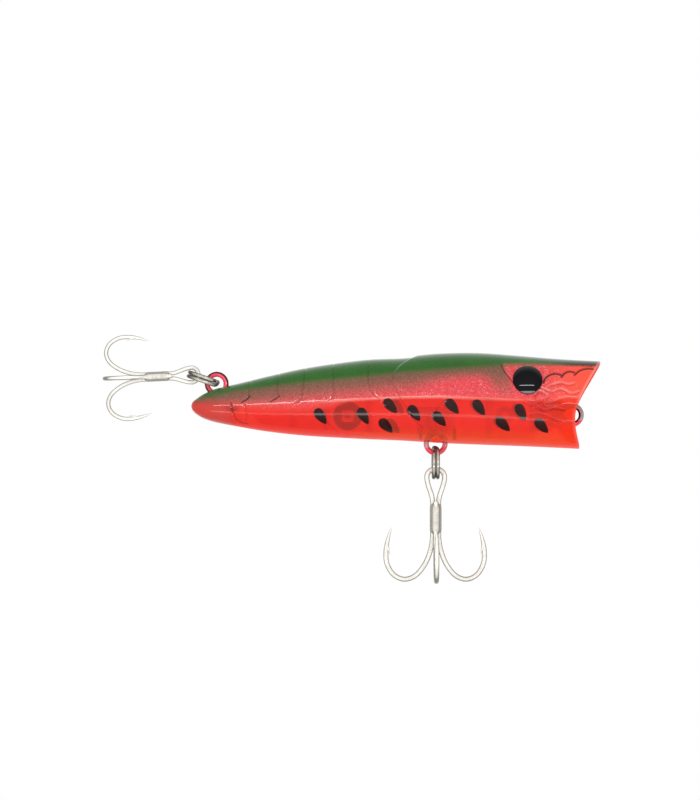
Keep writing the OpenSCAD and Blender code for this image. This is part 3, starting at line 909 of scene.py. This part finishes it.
RING_STEPS = 220
RING_STARTS = 32  # degrees round the ring, as are the next two
RING_SWEEP = 656
RING_JOG = 28  # half the part over which the wire steps from one turn to the other
RING_TURNED = math.radians(100)  # about the coil's own axis


def split_ring(node, body, hinge, material):
    """Two flat turns of wire with a jog, its hole hooked over the wire eye at the hinge."""
    axis = Vector(hinge["axis"]).normalized()
    share = np.linspace(0, 1, RING_STEPS)
    turn = np.radians(RING_STARTS + RING_SWEEP * share)
    step = np.clip((np.degrees(turn) - 360) / RING_JOG, -1, 1)
    along = np.sin(step * math.pi / 2) * (RING_WIRE_R + 0.01)
    local = np.stack([along, COIL_R * np.cos(turn), COIL_R * np.sin(turn)], 1)
    # the wire thins over its last four steps at both ends
    ends = np.minimum(share, 1 - share) * RING_STEPS
    radii = RING_WIRE_R * np.minimum(1, 0.55 + 0.45 * ends / 4)
    points, faces = swept(local, radii, (1, 0, 0))
    c, s = math.cos(RING_TURNED), math.sin(RING_TURNED)
    points = points @ np.array([[1, 0, 0], [0, c, s], [0, -s, c]])
    if abs(axis.z) > 0.5:  # the tail's hinge is nearly upright, and its coil is turned with it
        lie = math.atan2(axis.z, -axis.x)
        c, s = math.cos(lie), math.sin(lie)
        points = points @ np.array([[c, 0, -s], [0, 1, 0], [s, 0, c]])
    points = points + middle_of(node)
    piece = make_piece(f"{node}_wound", points, faces, body, material)
    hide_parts(node)


# One prong, as distance from the treble's axis and height under the ring it hangs on.
HOOK_CURVE = [(0.58, -9.7), (0.95, -11.6), (1.9, -13.7), (3.6, -15.6), (5.7, -16.3),
              (7.7, -15.6), (8.9, -13.9), (9.1, -12.1), (8.8, -10.2), (8.1, -8.1)]
SHANK_R = 0.56
HOOK_EYE_R = 1.42
SHANK_FROM = -3.8
SHANK_TO = -9.2
HOOK_STEPS = 12  # points between neighbours of the curve


def hook_points(angle):
    course = [(SHANK_R, SHANK_FROM), (SHANK_R, -6.5), (SHANK_R, SHANK_TO), *HOOK_CURVE]
    return [[r * math.cos(angle), r * math.sin(angle), z * HOOK_STRETCH] for r, z in course]


def hook_radii(count):
    """Even wire, then a long ground point."""
    ground = np.minimum(np.arange(count)[::-1] / (2.0 * HOOK_STEPS), 1)
    return HOOK_WIRE_R * (0.05 + 0.95 * np.sin(np.pi / 2 * ground) ** 0.8)


def barb(path, angle):
    """A sliver cut up from the inside of the hook, behind its point."""
    at = len(path) - 1 - int(1.75 * HOOK_STEPS)
    base, ahead = path[at], path[at + HOOK_STEPS // 2] - path[at]
    ahead /= np.linalg.norm(ahead)
    inward = -np.array([math.cos(angle), math.sin(angle), 0])
    inward -= ahead * inward.dot(ahead)
    inward /= np.linalg.norm(inward)
    course = [base + inward * 0.10 + ahead * 0.75, base + inward * 0.34 + ahead * 0.25,
              base + inward * 0.62 - ahead * 0.25, base + inward * 0.84 - ahead * 0.62]
    across = np.cross(ahead, inward)
    return swept(smooth_curve(course, 5), np.linspace(0.26, 0.03, 16), across, 10)


def treble(prefix, body, hinge, size, lean):
    """A double hook bent from one wire, a single hook beside it and the solder between them."""
    def place(points):
        x, y, z = (np.asarray(points) * size).T
        c, s = math.cos(lean), math.sin(lean)
        return np.stack([x * c + z * s, y, z * c - x * s], 1) + np.array(hinge["pos_m"]) / MM

    eye = [[HOOK_EYE_R * math.cos(a), 0, HOOK_EYE_R * math.sin(a)]
           for a in np.radians((75, 45, 15, -15))]
    neck = [[1.1, 0.05, -1.5], [0.72, 0.16, -2.6]]
    half = smooth_curve(eye + neck + hook_points(math.radians(30)), HOOK_STEPS)
    mirrored = half * [-1, 1, 1]
    whole = np.concatenate([half[::-1], mirrored])
    radii = hook_radii(len(half))
    points, faces = join_parts([swept(whole, np.concatenate([radii[::-1], radii]), (0, 1, 0)),
                                barb(half, math.radians(30)), barb(mirrored, math.radians(150))])
    double = make_piece(f"{prefix}_hook_double_ground", place(points), faces, body, HOOK_TIN)
    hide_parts(f"{prefix}_hook_double")

    course = smooth_curve(hook_points(math.radians(-90)), HOOK_STEPS)
    points, faces = join_parts([swept(course, hook_radii(len(course)), (1, 0, 0)),
                                barb(course, math.radians(-90))])
    single = make_piece(f"{prefix}_hook_single_ground", place(points), faces, body, HOOK_TIN)
    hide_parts(f"{prefix}_hook_single")

    points, faces = solder_web()
    solder = make_piece(f"{prefix}_hook_solder", place(points), faces, body, SOLDER)
    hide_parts(f"{prefix}_hook_braze")


def solder_web():
    """Solder drawn between three shanks: hollow flanks between the wires, and feathered ends."""
    around = 72
    turn = np.arange(around) * 2 * math.pi / around
    low, high = SHANK_TO * HOOK_STRETCH + 0.05, SHANK_FROM * HOOK_STRETCH - 0.1
    rings = []
    steps = 26
    for i in range(steps + 1):
        t = i / steps
        end = min(t, 1 - t) * 2
        fill = 0.48 + 0.42 * min(1, end * 3) ** 0.5 + 0.02 * math.sin(i * 1.7)
        off_wire = np.abs((np.degrees(turn) - 30 + 60) % 120 - 60) / 60
        r = 0.97 * (1 - off_wire**2) + fill * 0.86 * off_wire**2
        r = r * (0.55 + 0.45 * min(1, end * 4))
        z = np.full(around, low + (high - low) * t)
        rings.append(np.stack([r * np.cos(turn), r * np.sin(turn), z], 1))
    faces = grid_faces(len(rings), around, closed=True)
    faces.append(tuple(range(around))[::-1])
    faces.append(tuple(range(steps * around, (steps + 1) * around)))
    return np.concatenate(rings), faces


# ---------------------------------------------------------------- stage

# How bright reflections find the surroundings, from the camera's side (0) to the far side (1).
SURROUNDINGS = [(0.0, 0.14), (0.4, 0.08), (0.65, 0.32), (1.0, 1.0)]
ROOM_LIGHT = 0.95
# Name, metres from the middle of the view, watts, size, and whether reflections show the light.
SOFTBOXES = [("key", (-0.10, -0.42, 0.42), 0.9, (0.6, 0.4), False),
             ("strip_level", (0.0, -0.6, 0.055), 0.6, (0.9, 0.024), True),
             ("strip_low", (0.0, -0.52, -0.265), 0.6, (0.9, 0.07), True)]
# Lengths of the lure: radius and depth of the floor, and the radii over which it fades out.
FLOOR_R = 3.2
FLOOR_DEPTH = 1.25
FLOOR_FADES = (1.6, 3.1)


def white_world():
    """White to the camera and to most light, but darker in reflections from the camera's side."""
    n = Nodes("white_studio", "World")
    direction = n.add("ShaderNodeTexCoord").outputs["Generated"]
    level = n.add("ShaderNodeSeparateXYZ", Vector=direction).outputs["Y"]
    ramp = n.add("ShaderNodeValToRGB", Fac=n.maths("ADD", n.maths("MULTIPLY", level, 0.5), 0.5))
    stops = ramp.color_ramp.elements
    for place, value in SURROUNDINGS:
        stop = stops[0] if place == 0 else stops[-1] if place == 1 else stops.new(place)
        stop.color = (value, value, value, 1)
    rays = n.add("ShaderNodeLightPath").outputs
    strength = n.add("ShaderNodeMix")
    for i, value in ((0, rays["Is Glossy Ray"]), (2, ROOM_LIGHT), (3, ramp.outputs[0])):
        n.feed(strength.inputs[i], value)
    brighter = n.maths("MAXIMUM", strength.outputs[0], rays["Is Camera Ray"])
    background = n.add("ShaderNodeBackground", Color=(1, 1, 1), Strength=brighter)
    bpy.context.scene.world = n.shade(background.outputs[0])


def softbox(name, offset, power, size, in_reflections):
    """An area light that faces the middle of the view, at an offset from it."""
    light = bpy.data.lights.new(name, "AREA")
    light.shape = "RECTANGLE"
    light.size, light.size_y = size
    light.energy = power
    lamp = bpy.data.objects.new(name, light)
    bpy.context.scene.collection.objects.link(lamp)
    place = TARGET + Vector(offset)
    lamp.location = place
    lamp.visible_glossy = in_reflections
    lamp.rotation_euler = (TARGET - place).to_track_quat("-Z", "Y").to_euler()


def floor_paper():
    """White paper that fades out towards the floor's edge."""
    n = Nodes("pale_floor")
    place = n.add("ShaderNodeSeparateXYZ", Vector=n.position())
    off_x = n.maths("SUBTRACT", place.outputs[0], TARGET.x)
    away = n.maths("SQRT", n.maths("ADD", n.maths("POWER", off_x, 2.0),
                                   n.maths("POWER", place.outputs[1], 2.0)))
    paper = n.add("ShaderNodeBsdfPrincipled", Base_Color=linear(250, 249, 248),
                  Roughness=n.between(n.noise(0.02), 0.3, 0.7, 0.7, 0.8))
    faded = n.between(away, *(s * SPAN for s in FLOOR_FADES))
    return n.shade_between(faded, paper, n.add("ShaderNodeBsdfTransparent"))


def pale_floor():
    """A round floor well below the lure."""
    mesh = bpy.data.meshes.new("floor")
    r = FLOOR_R * SPAN
    around = 96
    mesh.from_pydata([(TARGET.x + r * math.cos(a), r * math.sin(a), -FLOOR_DEPTH * SPAN)
                      for a in np.linspace(0, 2 * math.pi, around, endpoint=False)],
                     [], [tuple(range(around))])
    mesh.materials.append(floor_paper())
    floor = bpy.data.objects.new("floor", mesh)
    bpy.context.scene.collection.objects.link(floor)
    floor.visible_glossy = False


def camera():
    """Level with the lure and square to its right side, as the photograph looks at it."""
    data = bpy.data.cameras.new("camera")
    data.lens = 200
    data.sensor_width = 36
    distance = VIEW_HEIGHT * data.lens / data.sensor_width
    data.clip_start, data.clip_end = 0.01, 20
    eye = bpy.data.objects.new("camera", data)
    bpy.context.scene.collection.objects.link(eye)
    eye.location = TARGET + Vector((0, -distance, 0))
    eye.rotation_euler = (math.radians(90), 0, 0)
    bpy.context.scene.camera = eye


# ---------------------------------------------------------------- build

SHELL = shell_material()
INNER_SKIN = inner_plastic("inner_skin", 0.08)
INNER = inner_plastic("inner_walls", 0.42)
INNER_SOLID = inner_plastic("inner_walls_thick", 0.75)
# darker copies of the inner plastic: painted shade on the stub's pip and the hanger ribs
INNER_PAINTED_SHADE = inner_plastic("inner_edges_painted_shade", 0.6, 0.35)
INNER_RIB_PAINTED_SHADE = inner_plastic("inner_ribs_painted_shade", 0.42, 0.6)
PAINTED_WIRE = painted_wire()
# the third colour of each is painted shade where the wire turns away
HOOK_TIN = plated_metal("hook_tin", linear(255, 253, 245), linear(244, 242, 232),
                        linear(128, 124, 116), 0.15, 0.2)
RING_NICKEL = plated_metal("ring_nickel", linear(236, 232, 220), linear(200, 194, 180),
                           linear(84, 78, 70), 0.5, 0.14)
SOLDER = plated_metal("silver_solder", linear(232, 228, 218), linear(206, 202, 192),
                      linear(140, 136, 128), 0.2, 0.3)

left = half_shell(1)
right = half_shell(-1)
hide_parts("left_shell")
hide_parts("right_shell")
inner_skin(1)
inner_skin(-1)
inside_of_body()

belly_eye = mount_at("belly_hanger")[[0, 2]]
tail_eye = mount_at("tail_hanger")[[0, 2]]
wire_eye("line_tie_wire", (0, 0), (-3.6 * K, 0), 0.6, -1)
wire_eye("belly_hanger_wire", belly_eye, belly_eye + (0, 3.4), 0.32, 0)
wire_eye("tail_hanger_wire", tail_eye, tail_eye + (2.35, -2.75), 0.0, 1)
split_ring("belly_split_ring", "belly_ring", joints["belly_ring_swing"], RING_NICKEL)
split_ring("tail_split_ring", "tail_ring", joints["tail_ring_swing"], RING_NICKEL)
treble("belly", "belly_treble", joints["belly_treble_swing"], 1.0, 0.0)
treble("tail", "tail_treble", joints["tail_treble_swing"], TAIL_SIZE, TAIL_HOOK_LEAN)

CARRIED_OVER = {
    "left_eye_disc": eye_black("eye_foil", 0.2),
    "right_eye_disc": eye_black("eye_foil_right", 0.2),
    "left_eye_dome": eye_black("eye_epoxy", 0.04),
    "right_eye_dome": eye_black("eye_epoxy_right", 0.04),
    "ballast_ball": ball_steel(),
}
for node, material in CARRIED_OVER.items():
    mesh = frame["nodes"][node].data
    mesh.materials.clear()
    mesh.materials.append(material)
    mesh.polygons.foreach_set("use_smooth", [True] * len(mesh.polygons))

white_world()
for name, *settings in SOFTBOXES:
    softbox(name, *settings)
pale_floor()
camera()
bpy.context.scene.view_settings.view_transform = "Standard"
